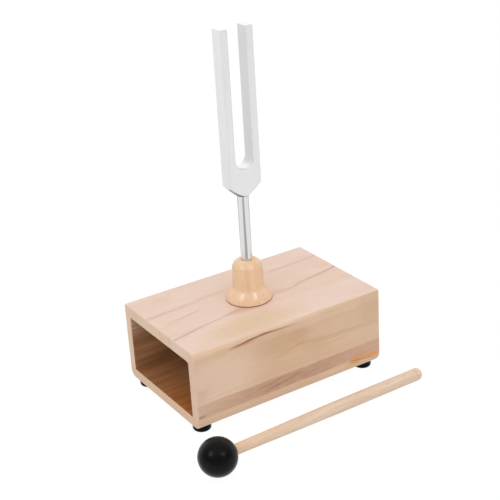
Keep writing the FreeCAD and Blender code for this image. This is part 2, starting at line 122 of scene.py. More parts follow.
class Graph:
    """A material's nodes, built up around its Principled shader."""

    def __init__(self, name):
        self.material = bpy.data.materials.new(name)
        self.material.use_nodes = True
        self.use(self.material.node_tree, "Principled BSDF")

    def use(self, tree, shader):
        """Builds in that tree, around the node of that name."""
        self.nodes = tree.nodes
        self.links = tree.links
        self.shader = tree.nodes[shader]

    @classmethod
    def of_tree(cls, tree, shader):
        """For a tree that isn't a material's."""
        graph = cls.__new__(cls)
        graph.use(tree, shader)
        return graph

    def set(self, socket, value):
        """Gives a socket of the shader a value or links it to another socket."""
        self.feed(self.shader.inputs[socket], value)

    def feed(self, socket, value):
        if isinstance(value, bpy.types.NodeSocket):
            self.links.new(value, socket)
        else:
            socket.default_value = value

    def add(self, kind, inputs, **settings):
        """A new node with its inputs fed, each by its name or place, and its settings made."""
        node = self.nodes.new("ShaderNode" + kind)
        for name, setting in settings.items():
            setattr(node, name, setting)
        for socket, value in inputs.items():
            self.feed(node.inputs[socket], value)
        return node

    def calc(self, operation, *values):
        return self.add("Math", dict(enumerate(values)), operation=operation).outputs[0]

    def times(self, first, second):
        return self.calc("MULTIPLY", first, second)

    def vector(self, operation, *values):
        return self.add("VectorMath", dict(enumerate(values)), operation=operation).outputs[0]

    def vector_value(self, operation, *values):
        node = self.add("VectorMath", dict(enumerate(values)), operation=operation)
        return node.outputs["Value"]

    def position(self):
        """The point on the surface, in millimetres."""
        place = self.add("TexCoord", {}).outputs["Object"]
        return self.vector("MULTIPLY", place, (1 / MM, 1 / MM, 1 / MM))

    def normal(self):
        """The way the surface faces, along the piece's own axes."""
        return self.add("TexCoord", {}).outputs["Normal"]

    def split(self, vector):
        node = self.add("SeparateXYZ", {0: vector})
        return node.outputs[0], node.outputs[1], node.outputs[2]

    def measured(self, vector, origin, axes):
        """The vector from origin, along three axes of its own."""
        away = self.vector("SUBTRACT", vector, tuple(origin))
        return self.join(*(self.vector_value("DOT_PRODUCT", away, tuple(axis)) for axis in axes))

    def join(self, x, y, z):
        return self.add("CombineXYZ", {0: x, 1: y, 2: z}).outputs[0]

    def length(self, across, up):
        """How far the point that far across and up is from zero."""
        squares = [self.times(side, side) for side in (across, up)]
        return self.calc("SQRT", self.calc("ADD", *squares))

    def stretched(self, vector, lengths, seed=0.0):
        """The vector in units of lengths millimetres, moved along by seed."""
        scaled = self.vector("DIVIDE", vector, lengths)
        return self.vector("ADD", scaled, tuple(seed * step for step in SEED_STEPS))

    def noise(self, vector, detail=2.0, rough=0.5, output="Fac"):
        inputs = {"Vector": vector, "Scale": 1.0, "Detail": detail, "Roughness": rough}
        return self.add("TexNoise", inputs).outputs[output]

    def noise_1d(self, value, detail=2.0, rough=0.5):
        inputs = {"W": value, "Scale": 1.0, "Detail": detail, "Roughness": rough}
        return self.add("TexNoise", inputs, noise_dimensions="1D").outputs["Fac"]

    def rise(self, value, start, end, low=0.0, high=1.0):
        """Goes smoothly from low to high as value goes from start to end."""
        inputs = {"Value": value, "From Min": start, "From Max": end, "To Min": low, "To Max": high}
        return self.add("MapRange", inputs, interpolation_type="SMOOTHSTEP").outputs["Result"]

    def within(self, value, start, end, soft):
        """One between start and end, fading to zero over soft outside them."""
        up = self.rise(value, start - soft, start)
        down = self.rise(value, end, end + soft, 1.0, 0.0)
        return self.times(up, down)

    def curve(self, value, points):
        """A smooth line through points, each (value, result), flat beyond its ends."""
        (start, *_), (end, *_) = points[0], points[-1]
        results = [result for _, result in points]
        low, high = min(results), max(results)
        spots = [((at - start) / (end - start), (result - low) / (high - low)) for at, result in points]
        share = self.add("MapRange", {"Value": value, "From Min": start, "From Max": end})
        node = self.add("FloatCurve", {"Value": share.outputs["Result"]})
        line = node.mapping.curves[0]
        line.points[0].location = spots[0]
        line.points[1].location = spots[-1]
        for spot in spots[1:-1]:
            line.points.new(*spot)
        node.mapping.update()
        inputs = {"Value": node.outputs[0], "To Min": low, "To Max": high}
        return self.add("MapRange", inputs).outputs["Result"]

    def blend(self, factor, first, second):
        return self.add("Mix", {0: factor, 6: first, 7: second}, data_type="RGBA").outputs[2]

    def layered(self, colour, layers):
        """The colour with layers over it, each (how much of it covers, its colour)."""
        for factor, tone in layers:
            colour = self.blend(factor, colour, tone)
        return colour

    def value_mix(self, factor, first, second):
        return self.add("Mix", {0: factor, 2: first, 3: second}).outputs[0]

    def relief(self, height, depth):
        """Bump of that depth in millimetres."""
        return self.add("Bump", {"Height": height, "Distance": depth * MM}).outputs["Normal"]


# Stage, in metres -----------------------------------------------

WHITE = (1.0, 1.0, 1.0, 1.0)
BLACK = (0.0, 0.0, 0.0, 1.0)
FLOOR_SIZE = 14.0
LIGHT_DISTANCE = 1.7
WHITE_OUT = 1.05             # how bright the room looks to the camera
BACKDROP_MIRRORED = 1.2      # what gloss mirrors of the backdrop behind the object
ROOM_MIRRORED = 0.32         # what gloss mirrors of the room behind the camera
ABOVE_MIRRORED = 0.8         # and high above the camera
ABOVE_FROM = (0.5, 0.8)      # the height of a direction where the room ends
ROOM_FROM = (-0.5, 0.35)     # how far it faces the camera where the backdrop ends
FILL = 0.78                  # the even fill that falls on the object
FLOOR_PAPER = 0.08
FLOOR_SEEN = 0.95            # the floor's own light: as the camera sees it, in metal and in the rest
FLOOR_MIRRORED = 0.88
FLOOR_BOUNCE = 0.62
CARD_NEAR = 0.21
CARD_FAR = 0.52
CARD_LIFT = 0.2 * MM
CARDS = (                    # name, width, grey and side of the stem: 1 towards the camera
    ("card_front", 0.25, 0.46, 1),
    ("card_back", 0.8, 0.56, -1),
)
HIGHLIGHT_GAIN = 1.6
OVERHEAD_FROM = Vector((0.1, 0.1, 1.0))
OVERHEAD_SIZE = 1.8
OVERHEAD_POWER = 3.4
KEY_SIZE = 1.6
HIGHLIGHT_SIZE = 0.26
KEYS = (                     # name, direction from the object, power
    ("left", RIGHT * -0.59 + UP * 0.30 + BACK * 0.75, 4.6),
    ("right", RIGHT * 0.49 + UP * 0.34 + BACK * 0.81, 4.2),
)


def soft_box(name, direction, size, power, falls=True, shines=True):
    """A square area light that faces the object from that direction.

    It falls on the surfaces, and shines as a highlight in glossy ones, or only one of the two.
    """
    data = bpy.data.lights.new(name, "AREA")
    data.shape = "SQUARE"
    data.size = size
    data.energy = power
    light = bpy.data.objects.new(name, data)
    scene.collection.objects.link(light)
    direction = direction.normalized()
    light.matrix_world = Matrix.Translation(box_top_centre() + direction * LIGHT_DISTANCE) @ (
        direction.to_track_quat("Z", "Y").to_matrix().to_4x4()
    )
    light.visible_diffuse = falls
    light.visible_glossy = shines


def make_lights():
    """Wide soft boxes beside the camera and overhead, with small ones that only make highlights."""
    for side, direction, power in KEYS:
        soft_box("key_" + side, direction, KEY_SIZE, power, shines=False)
        soft_box("highlight_" + side, direction, HIGHLIGHT_SIZE, power * HIGHLIGHT_GAIN, falls=False)
    soft_box("overhead", OVERHEAD_FROM, OVERHEAD_SIZE, OVERHEAD_POWER, shines=False)


def ray_strength(graph, camera, glossy, other):
    """A strength for the camera, one for mirrored light and one for the rest."""
    path = graph.add("LightPath", {})
    strength = graph.value_mix(path.outputs["Is Glossy Ray"], other, glossy)
    return graph.value_mix(path.outputs["Is Camera Ray"], strength, camera)


def make_world():
    """White for the camera. For the rest, a pale backdrop behind the object and a dim room in front."""
    world = bpy.data.worlds.new("studio")
    scene.world = world
    world.use_nodes = True
    sky = Graph.of_tree(world.node_tree, "Background")
    direction = sky.add("TexCoord", {}).outputs["Generated"]
    facing = sky.vector_value("DOT_PRODUCT", direction, tuple(BACK))
    room = sky.rise(sky.split(direction)[2], *ABOVE_FROM, ROOM_MIRRORED, ABOVE_MIRRORED)
    mirrored = sky.rise(facing, *ROOM_FROM, BACKDROP_MIRRORED, room)
    sky.set("Strength", ray_strength(sky, WHITE_OUT, mirrored, FILL))
    sky.set("Color", WHITE)


def stage_plane(name, corners, material):
    """A plane that isn't part of the object."""
    mesh = bpy.data.meshes.new(name)
    mesh.from_pydata(corners, [], [(0, 1, 2, 3)])
    mesh.materials.append(material)
    plane = bpy.data.objects.new(name, mesh)
    scene.collection.objects.link(plane)
    return plane


def make_floor():
    """White mostly by its own light, so shadows on it stay faint, and it lights the object too."""
    paper = Graph("floor_paper")
    paper.set("Base Color", (FLOOR_PAPER, FLOOR_PAPER, FLOOR_PAPER, 1.0))
    paper.set("Roughness", 0.9)
    paper.set("Specular IOR Level", 0.0)
    paper.set("Emission Color", WHITE)
    paper.set("Emission Strength", ray_strength(paper, FLOOR_SEEN, FLOOR_MIRRORED, FLOOR_BOUNCE))
    half = FLOOR_SIZE / 2
    corners = [(-half, -half, 0), (half, -half, 0), (half, half, 0), (-half, half, 0)]
    stage_plane("floor", corners, paper.material)


def make_cards():
    """Grey cards on the floor, which only mirrors show: the stem's dark middle line and edges."""
    for name, width, strength, side in CARDS:
        grey = Graph(name)
        grey.set("Base Color", BLACK)
        grey.set("Specular IOR Level", 0.0)
        grey.set("Emission Color", WHITE)
        grey.set("Emission Strength", strength)
        ahead = Vector((BACK.x, BACK.y, 0.0)).normalized() * side
        aside = Vector((-ahead.y, ahead.x, 0.0)) * (width / 2)
        lift = Vector((0.0, 0.0, CARD_LIFT))
        near, far = ahead * CARD_NEAR + lift, ahead * CARD_FAR + lift
        card = stage_plane(name, [near - aside, near + aside, far + aside, far - aside], grey.material)
        card.visible_camera = False
        card.visible_diffuse = False
        card.visible_shadow = False


# Mesh tools -----------------------------------------------------

ARC_STEP = math.radians(11)
LATHE_SEGMENTS = 96
DRILL_SEGMENTS = 32
ON_AXIS = 1e-9               # a smaller radius is a point on the axis
SMOOTH_UP_TO = math.radians(32)
CORNER_STEPS = 6
FLAT_SPACING = 4.0
BREAK = 0.12                 # the tiny sanded break where two boards meet


def arc_points(start, end, radius, turn):
    """The points of an arc from start to end, without start: turn is 1 to the left, -1 to the right."""
    start, end = Vector(start), Vector(end)
    chord = end - start
    left = Vector((-chord.y, chord.x)).normalized() * turn
    centre = (start + end) / 2 + left * math.sqrt(max(radius ** 2 - chord.length_squared / 4, 0.0))
    first = math.atan2(start.y - centre.y, start.x - centre.x)
    last = math.atan2(end.y - centre.y, end.x - centre.x)
    sweep = (last - first) * turn % (2 * math.pi) * turn
    steps = max(2, math.ceil(abs(sweep) / ARC_STEP))
    angles = [first + sweep * step / steps for step in range(1, steps + 1)]
    return [(centre.x + radius * math.cos(a), centre.y + radius * math.sin(a)) for a in angles]


def profile(corners):
    """(radius, height) points. A corner with a radius and a turn starts an arc to the next one."""
    points = [corners[0][:2]]
    for corner, following in zip(corners, corners[1:]):
        if len(corner) == 4:
            points += arc_points(corner[:2], following[:2], *corner[2:])
        else:
            points.append(following[:2])
    return points


def lathe(points, segments=LATHE_SEGMENTS):
    """Vertices and faces of points turned round Z. A closed ring of points makes a pierced solid."""
    on_axis = [abs(radius) < ON_AXIS for radius, _ in points]
    vertices, rings = [], []
    for (radius, height), pole in zip(points, on_axis):
        rings.append(range(len(vertices), len(vertices) + (1 if pole else segments)))
        for step in range(1 if pole else segments):
            angle = 2 * math.pi * step / segments
            vertices.append((radius * math.cos(angle), radius * math.sin(angle), height))
    pairs = list(zip(rings, rings[1:]))
    if not on_axis[0]:
        pairs.append((rings[-1], rings[0]))
    faces = []
    for lower, upper in pairs:
        for step in range(segments):
            here, there = step, (step + 1) % segments
            if len(lower) == 1:
                faces.append((lower[0], upper[there], upper[here]))
            elif len(upper) == 1:
                faces.append((lower[here], lower[there], upper[0]))
            else:
                faces.append((lower[here], lower[there], upper[there], upper[here]))
    return vertices, faces


def moved(shape, place):
    """The shape put in its place by a matrix."""
    vertices, faces = shape
    return [tuple(place @ Vector(vertex)) for vertex in vertices], faces


def joined(shapes):
    """All the shapes as one."""
    vertices, faces = [], []
    for more_vertices, more_faces in shapes:
        first = len(vertices)
        vertices += more_vertices
        faces += [tuple(first + index for index in face) for face in more_faces]
    return vertices, faces


def make_mesh(name, shape):
    """A mesh in metres from a shape in millimetres, with its gentle edges shaded smooth."""
    vertices, faces = shape
    mesh = bpy.data.meshes.new(name)
    mesh.from_pydata([Vector(vertex) * MM for vertex in vertices], [], faces)
    mesh.validate()
    finish_mesh(mesh)
    return mesh


def finish_mesh(mesh):
    """Shades it smooth, but for its sharper edges."""
    mesh.shade_smooth()
    mesh.set_sharp_from_angle(angle=SMOOTH_UP_TO)


def add_piece(node, shape, material, body):
    """A new piece in the CAD node's stead."""
    name = node + "_looks"
    piece = bpy.data.objects.new(name, make_mesh(name, shape))
    piece.data.materials.append(material)
    scene.collection.objects.link(piece)
    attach(piece, body)
    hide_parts(node)
    weighted = piece.modifiers.new("even_shading", "WEIGHTED_NORMAL")
    weighted.keep_sharp = True
    return piece


def drill(piece, holes):
    """Cuts holes: each is (x, y, radius, from height, to height) in millimetres."""
    cylinders = []
    for x, y, radius, low, high in holes:
        bit = lathe([(0, low), (radius, low), (radius, high), (0, high)], DRILL_SEGMENTS)
        cylinders.append(moved(bit, Matrix.Translation((x, y, 0))))
    bits = bpy.data.objects.new("bits", make_mesh("bits", joined(cylinders)))
    scene.collection.objects.link(bits)
    shading = piece.modifiers["even_shading"]
    shading.show_viewport = False
    cut = piece.modifiers.new("holes", "BOOLEAN")
    cut.object = bits
    cut.solver = "EXACT"
    evaluated = piece.evaluated_get(bpy.context.evaluated_depsgraph_get())
    mesh = bpy.data.meshes.new_from_object(evaluated)
    mesh.name = piece.name + "_drilled"
    finish_mesh(mesh)
    piece.modifiers.remove(cut)
    piece.data = mesh
    shading.show_viewport = True
    bpy.data.objects.remove(bits)


def section(low, high, radii, insets, cove):
    """Points round a board's (y, z) section, from its lower front corner, seen towards -X.

    radii are for the lower front, lower back, upper back and upper front corners, and insets are how
    far the front, back, lower and upper sides stand in. A cove swells the upper back corner.
    """
    front, back, lower, upper = insets
    corners = (
        (low[0] + front, low[1] + lower, 180, 1, 1),
        (high[0] - back, low[1] + lower, 270, -1, 1),
        (high[0] - back, high[1] - upper, 0, -1, -1),
        (low[0] + front, high[1] - upper, 90, 1, -1),
    )
    arcs = []
    for index, ((y, z, first, inward_y, inward_z), radius) in enumerate(zip(corners, radii)):
        swollen = cove and index == 2
        if swollen:
            centre, radius, first, sweep = (y + cove, z - cove), cove, 180, -90
        else:
            centre, sweep = (y + inward_y * radius, z + inward_z * radius), 90
        for step in range(CORNER_STEPS + 1):
            angle = math.radians(first + sweep * step / CORNER_STEPS)
            arcs.append((centre[0] + radius * math.cos(angle), centre[1] + radius * math.sin(angle)))
    points = []
    for index, point in enumerate(arcs):
        following = arcs[(index + 1) % len(arcs)]
        points.append(point)
        if index % (CORNER_STEPS + 1) == CORNER_STEPS:
            side = index // (CORNER_STEPS + 1)
            length = (high[0] - low[0], high[1] - low[1])[side % 2]
            parts = max(2, round(length / FLAT_SPACING))
            for part in range(1, parts):
                points.append(tuple(Vector(point).lerp(Vector(following), part / parts)))
    return points


def board_shape(node, end_radii, end_rounds, cove):
    """A board along X the size of its CAD node.

    end_radii gives the four corner radii of its section at the open and the closed end. end_rounds
    gives, for the same ends, how far the front, back, lower and upper sides are rounded over.
    """
    low, high = node_box(node)
    side_high = high.y - cove
    at_open, at_closed = (max(rounds) for rounds in end_rounds)
    stretch = high.x - low.x - at_open - at_closed
    parts = round(stretch / FLAT_SPACING)
    angles = [math.radians(90 * step / CORNER_STEPS) for step in range(CORNER_STEPS + 1)]
    stations = [(low.x + at_open * (1 - math.cos(angle)), angle, 0) for angle in angles]
    stations += [(low.x + at_open + stretch * part / parts, angles[-1], 0) for part in range(1, parts)]
    stations += [(high.x - at_closed * (1 - math.cos(angle)), angle, 1) for angle in reversed(angles)]
    vertices, faces = [], []
    for x, angle, end in stations:
        insets = [rounding * (1 - math.sin(angle)) for rounding in end_rounds[end]]
        wide = max(insets)
        share = (x - low.x) / (high.x - low.x)
        radii = [max(first + (last - first) * share - wide, BREAK) for first, last in zip(*end_radii)]
        ring = section((low.y, low.z), (side_high, high.z), radii, insets, cove)
        vertices += [(x, y, z) for y, z in ring]
    count = len(ring)
    rings = len(vertices) // count
    for ring_index in range(rings - 1):
        first, second = ring_index * count, (ring_index + 1) * count
        for index in range(count):
            following = (index + 1) % count
            faces.append((first + index, second + index, second + following, first + following))
    faces.append(tuple(range(count)))
    faces.append(tuple(reversed(range((rings - 1) * count, rings * count))))
    return vertices, faces


# Materials: wood ------------------------------------------------

TOP_TONE = shade(237, 211, 196)
TOP_DEEPER = shade(234, 206, 188)
FRONT_TONE = shade(231, 198, 168)
FRONT_DEEPER = shade(225, 189, 157)
SIDE_TONE = shade(226, 196, 170)
END_TONE = shade(235, 206, 182)
END_DEEPER = shade(229, 198, 170)
END_LOW = shade(222, 186, 152)
# The inside's tone and its darker tone hold painted shade as well as the wood's colour
INSIDE_TONE_AND_SHADE = shade(212, 162, 120)
INSIDE_DEEPER_AND_SHADE = shade(150, 96, 56)
RAW_LIT = shade(240, 204, 168)
RAW_LOW = shade(142, 92, 54)
RAW_FLOOR = shade(182, 126, 80)
RAW_FLOOR_ORANGE = shade(194, 118, 54)

GRAIN_LINE = shade(196, 152, 122)
RAW_LINE = shade(132, 84, 48)
RAW_STREAK = shade(124, 76, 42)
TOP_LINE = shade(196, 158, 134)
FRONT_LINE = shade(196, 156, 122)
DARK_BROWN = shade(114, 64, 20)
BAND_BROWN = shade(194, 152, 126)
BAND_DARK = shade(158, 114, 88)
ORANGE = shade(232, 160, 92)
ORANGE_DARK = shade(150, 100, 56)
GLUE_AND_SHADOW_BROWN = shade(128, 80, 38)

# Lengths of the noise along the grain and across it
DRIFT_LENGTHS = (150.0, 42.0, 42.0)
CLOUD_LENGTHS = (90.0, 26.0, 26.0)
FIBRE_LENGTHS = (26.0, 0.55, 0.55)
PORE_LENGTHS = (5.0, 0.34, 0.34)
RAW_STREAK_LENGTHS = (90.0, 5.0, 5.0)

# How much each layer of the grain darkens the box
RINGS_ON_TOP = 0.1
RINGS_ELSEWHERE = 0.26
FIBRES_ON_BOX = 0.2
PORES_ON_BOX = 0.25

GLUE_AND_SHADOW_FROM = 3.0              # the dark ring of glue and painted contact shadow lies between these distances inside the socket's edge
GLUE_AND_SHADOW_TO = 0.4
BAND_LOW = 18.0
BAND_HIGH = 28.0
END_LOW_FROM = 22.0          # the ends turn yellower below this height
END_LOW_TO = 12.0
INSIDE_EDGE = 0.25           # how far past the end board's outline still is the cavity
OUTER_FACE = 2.0             # how much of the end board's thickness is its outer face

LOW_WALL_TOP = 36.0          # the cavity's walls darken below this height

# Where the cavity's tones change, each (from, to)
# painted shade deepens from the opening towards the closed end
DEPTH_SHADE_X = (-84.0, 5.0)
# a painted patch of light, high up near the opening
LIT_CORNER_X = (-66.0, -88.0)
LIT_CORNER_Z = (40.0, 58.0)
NEAR_FLOOR_X = (-40.0, -80.0)
ORANGE_FLOOR_Y = (30.0, -35.0)

# Lines on the top, each (half width, route), with the route's points as (X, Y, strength)
TOP_LINES = (
    (2.5, ((-90, -26.5, 0.65), (-72, -22.7, 0.65), (-55, -19.3, 0.45), (-42, -17.5, 0.4),
           (-30, -15.5, 0.55), (-12, -13.0, 0.5), (18, -9.7, 0.35), (38, -7.2, 0.45),
           (55, -2.7, 0.6), (72, -0.3, 0.7), (92, 4.0, 0.75))),
    (4.2, ((-90, 18.0, 0.4), (-72, 19.5, 0.45), (-55, 20.0, 0.3), (-42, 21.5, 0.25),
           (-28, 24.0, 0.25), (-10, 24.5, 0.2), (2, 25.0, 0.0))),
    (3.0, ((-80, 1.0, 0.0), (-68, 2.5, 0.3), (-60, 4.0, 0.35), (-50, 5.5, 0.3), (-40, 7.5, 0.0))),
    (2.6, ((34, 30.0, 0.0), (43, 30.3, 0.4), (53, 30.8, 0.4), (64, 31.5, 0.3), (78, 31.8, 0.3),
           (92, 33.0, 0.4))),
)

# Patches on the top, each (middle, reach, tone, strength), in X and Y
TOP_PATCHES = (
    ((-22, -40), (62, 22), shade(228, 200, 170), 1.0),
    # painted shade and reflection of the bell, in front of its foot
    ((-12, -15), (24, 9), shade(216, 178, 142), 0.5),
    ((-60, 42), (12, 6), shade(232, 196, 182), 0.6),
    ((84, 12), (12, 8), shade(236, 198, 164), 0.6),
    ((26, -5), (10, 5), shade(230, 192, 176), 0.6),
)

# Lines on the front, with points as (X, Z, strength)
FRONT_LINES = (
    (2.2, ((6, 51.5, 0.0), (15, 50.5, 0.35), (30, 49.4, 0.35), (48, 48.5, 0.4), (62, 48.0, 0.4),
           (76, 47.2, 0.35), (92, 46.5, 0.25))),
    (1.8, ((12, 47.0, 0.0), (24, 46.6, 0.2), (38, 46.4, 0.3), (55, 46.2, 0.25), (74, 45.0, 0.2),
           (92, 44.2, 0.15))),
    (2.2, ((-16, 46.0, 0.0), (-8, 47.4, 0.3), (2, 49.5, 0.3), (12, 52.0, 0.25), (20, 55.0, 0.0))),
    (2.2, ((20, 43.5, 0.0), (32, 42.6, 0.2), (46, 42.2, 0.2), (60, 42.4, 0.0))),
)
DARK_LINE = (
    (1.25, ((-58, 68.6, 0.0), (-52, 69.4, 0.45), (-45, 70.0, 0.85), (-38, 70.7, 1.0),
            (-30, 71.2, 1.0), (-21, 71.6, 1.0), (-14, 71.3, 0.7), (-5, 71.0, 0.5), (3, 71.0, 0.3),
            (12, 71.4, 0.0))),
)
BAND_ALONG = (               # (place along X, strength)
    (-88, 0.1), (-82, 0.42), (-65, 0.58), (-45, 0.8), (-15, 1.0), (15, 1.0), (40, 0.86),
    (65, 0.64), (92, 0.58),
)
BAND_STREAKS = (
    (2.0, ((-26, 20.4, 0.0), (-18, 21.4, 0.45), (-8, 22.8, 0.6), (2, 24.2, 0.5), (12, 25.4, 0.0))),
    (1.4, ((-34, 23.8, 0.0), (-26, 24.6, 0.35), (-16, 25.4, 0.4), (-6, 26.0, 0.0))),
    (1.4, ((8, 20.6, 0.0), (18, 21.4, 0.35), (30, 22.2, 0.35), (40, 22.8, 0.0))),
)
ORANGE_STREAK = (
    (3.4, ((58, 19.0, 0.0), (63, 18.6, 0.7), (69, 17.8, 1.0), (76, 16.6, 1.0), (84, 15.9, 1.0),
           (92, 15.2, 0.8))),
)
STREAK_SHADOW = (
    (0.9, ((60, 16.6, 0.0), (65, 16.3, 0.6), (72, 15.2, 0.6), (79, 14.3, 0.4), (85, 13.8, 0.0))),
)

# Patches on the front, in X and Z
PALE_PATCHES = (
    ((-66, 44), (52, 40), shade(241, 214, 188), 0.7),
    ((-64, 69), (16, 6), shade(224, 196, 152), 0.5),
)
TINTED_PATCHES = (
    ((-22, 58), (17, 15), shade(216, 176, 150), 0.5),
    ((-6, 59), (20, 16), shade(213, 176, 130), 0.7),
    ((11, 59), (15, 13), shade(206, 160, 126), 0.45),
    ((24, 48), (18, 8), shade(214, 184, 144), 0.45),
    ((82, 60), (18, 18), shade(212, 180, 146), 0.45),
)
EDGE_PATCHES = (
    ((-84, 38), (10, 6), shade(218, 182, 156), 0.4),
    ((48, 74), (50, 2.6), shade(214, 188, 146), 0.35),
)
BAND_END = (((-86, 18.8), (8, 2.0), shade(168, 122, 96), 0.7),)
BESIDE_STREAK = (
    ((60, 21.5), (8, 3.0), shade(216, 172, 162), 0.85),
    ((50, 14.0), (13, 3.0), shade(226, 188, 136), 0.7),
)
STREAK_START = (((65, 15.0), (10, 3.4), shade(222, 168, 96), 0.9),)
ABOVE_STREAK = (((76, 20.6), (14, 1.3), shade(214, 156, 124), 0.6),)
# a painted highlight along the bottom board's front
PAINTED_HIGHLIGHT_STRIP = (((44, 13.8), (20, 3.2), shade(238, 202, 174), 0.8),)
BELOW_DARK_LINE = (((-44, 69.2), (16, 1.9), shade(206, 146, 98), 0.65),)


def wood_grain(wood, place, pith, seed, warp=7.0, ring=9.0):
    """Growth rings round a pith line along the first axis of place, with fibres and pores along it.

    Returns (rings, fibres, pores), each from 0 to 1.
    """
    drift = wood.noise(wood.stretched(place, DRIFT_LENGTHS, seed), 2.0, 0.45, "Color")
    drift = wood.vector("SUBTRACT", drift, (0.5, 0.5, 0.5))
    drift = wood.vector("MULTIPLY", drift, (0.0, 2 * warp, 2 * warp))
    warped = wood.vector("ADD", place, drift)
    _, across, deep = wood.split(wood.vector("SUBTRACT", warped, (0.0, *pith)))
    rings = wood.noise_1d(wood.calc("DIVIDE", wood.length(across, deep), ring), 4.0, 0.62)
    fibres = wood.noise(wood.stretched(warped, FIBRE_LENGTHS, seed + 1), 2.0, 0.55)
    pores = wood.noise(wood.stretched(warped, PORE_LENGTHS, seed + 2), 1.0, 0.4)
    pores = wood.rise(pores, 0.64, 0.74)
    return rings, fibres, pores


def lines(wood, colour, along, across, marks, tone):
    """Soft lines of a tone. marks has (half width, route), a route (along, across, strength)."""
    for half_width, route in marks:
        centre = wood.curve(along, [(at, level) for at, level, _ in route])
        strength = wood.curve(along, [(at, amount) for at, _, amount in route])
        away = wood.calc("ABSOLUTE", wood.calc("SUBTRACT", across, centre))
        factor = wood.times(strength, wood.rise(away, 0.0, half_width, 1.0, 0.0))
        colour = wood.blend(factor, colour, tone)
    return colour


def patches(wood, colour, along, across, marks):
    """Soft oval patches. marks has (middle, reach, tone, strength)."""
    for middle, reach, tone, strength in marks:
        right = wood.calc("DIVIDE", wood.calc("SUBTRACT", along, middle[0]), reach[0])
        up = wood.calc("DIVIDE", wood.calc("SUBTRACT", across, middle[1]), reach[1])
        factor = wood.rise(wood.length(right, up), 0.25, 1.0, strength, 0.0)
        colour = wood.blend(factor, colour, tone)
    return colour


def shifted(wood, place, value, lengths, reach, seed, rough=0.55):
    """The value, moved by up to reach millimetres by noise of those lengths."""
    drift = wood.noise(wood.stretched(place, lengths, seed), 3.0, rough)
    return wood.calc("ADD", value, wood.times(wood.calc("SUBTRACT", drift, 0.5), 2 * reach))


def top_face(wood, place, colour):
    """The top's marks: long brown lines, yellower patches, painted shade and reflection in front of
    the bell's foot, and a dark ring round the socket of glue and painted contact shadow.
    """
    x, y, _ = wood.split(place)
    wavy = shifted(wood, place, y, (24.0, 9.0, 9.0), 1.6, 21.0)
    broken = shifted(wood, place, wavy, (7.0, 1.2, 1.2), 1.1, 22.0, 0.6)
    colour = patches(wood, colour, x, wavy, TOP_PATCHES)
    colour = lines(wood, colour, x, broken, TOP_LINES, TOP_LINE)
    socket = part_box("bell_socket")[1].x / MM
    # a dark ring under the bell's rim: glue and painted contact shadow
    glue_and_shadow = wood.within(wood.length(x, y), socket - GLUE_AND_SHADOW_FROM, socket - GLUE_AND_SHADOW_TO, 0.5)
    return wood.blend(wood.times(glue_and_shadow, 0.85), colour, GLUE_AND_SHADOW_BROWN)


def front_face(wood, place, colour):
    """The front's marks: tinted patches, red-brown band, orange streak and dark line, and a painted
    highlight low down.
    """
    x, _, z = wood.split(place)
    wavy = shifted(wood, place, z, (26.0, 9.0, 6.0), 1.3, 31.0)
    ragged = shifted(wood, place, wavy, (7.0, 5.0, 1.4), 0.9, 32.0)
    level = shifted(wood, place, z, (22.0, 9.0, 3.0), 0.9, 33.0)
    tight = shifted(wood, place, z, (9.0, 4.0, 1.0), 0.35, 35.0)
    wavy_x = shifted(wood, place, x, (14.0, 9.0, 4.5), 9.0, 36.0)

    colour = patches(wood, colour, x, wavy, PALE_PATCHES)
    colour = patches(wood, colour, wavy_x, wavy, TINTED_PATCHES)
    colour = patches(wood, colour, x, wavy, EDGE_PATCHES)
    colour = lines(wood, colour, x, ragged, FRONT_LINES, FRONT_LINE)

    band = wood.within(level, BAND_LOW, BAND_HIGH, 1.8)
    mottle = wood.noise(wood.stretched(place, (10.0, 5.0, 2.6), 34.0), 3.0, 0.62)
    strength = wood.times(wood.curve(x, BAND_ALONG), wood.rise(mottle, 0.2, 0.7, 0.6, 1.0))
    colour = wood.blend(wood.times(band, strength), colour, BAND_BROWN)
    colour = lines(wood, colour, x, ragged, BAND_STREAKS, BAND_DARK)
    colour = patches(wood, colour, x, level, BAND_END)

    colour = patches(wood, colour, x, ragged, BESIDE_STREAK)
    colour = lines(wood, colour, x, ragged, ORANGE_STREAK, ORANGE)
    colour = patches(wood, colour, x, ragged, STREAK_START)
    colour = patches(wood, colour, x, tight, ABOVE_STREAK)
    colour = lines(wood, colour, x, tight, STREAK_SHADOW, ORANGE_DARK)
    # a painted highlight low down on the front
    colour = patches(wood, colour, x, ragged, PAINTED_HIGHLIGHT_STRIP)

    colour = patches(wood, colour, x, tight, BELOW_DARK_LINE)
    return lines(wood, colour, x, tight, DARK_LINE, DARK_BROWN)


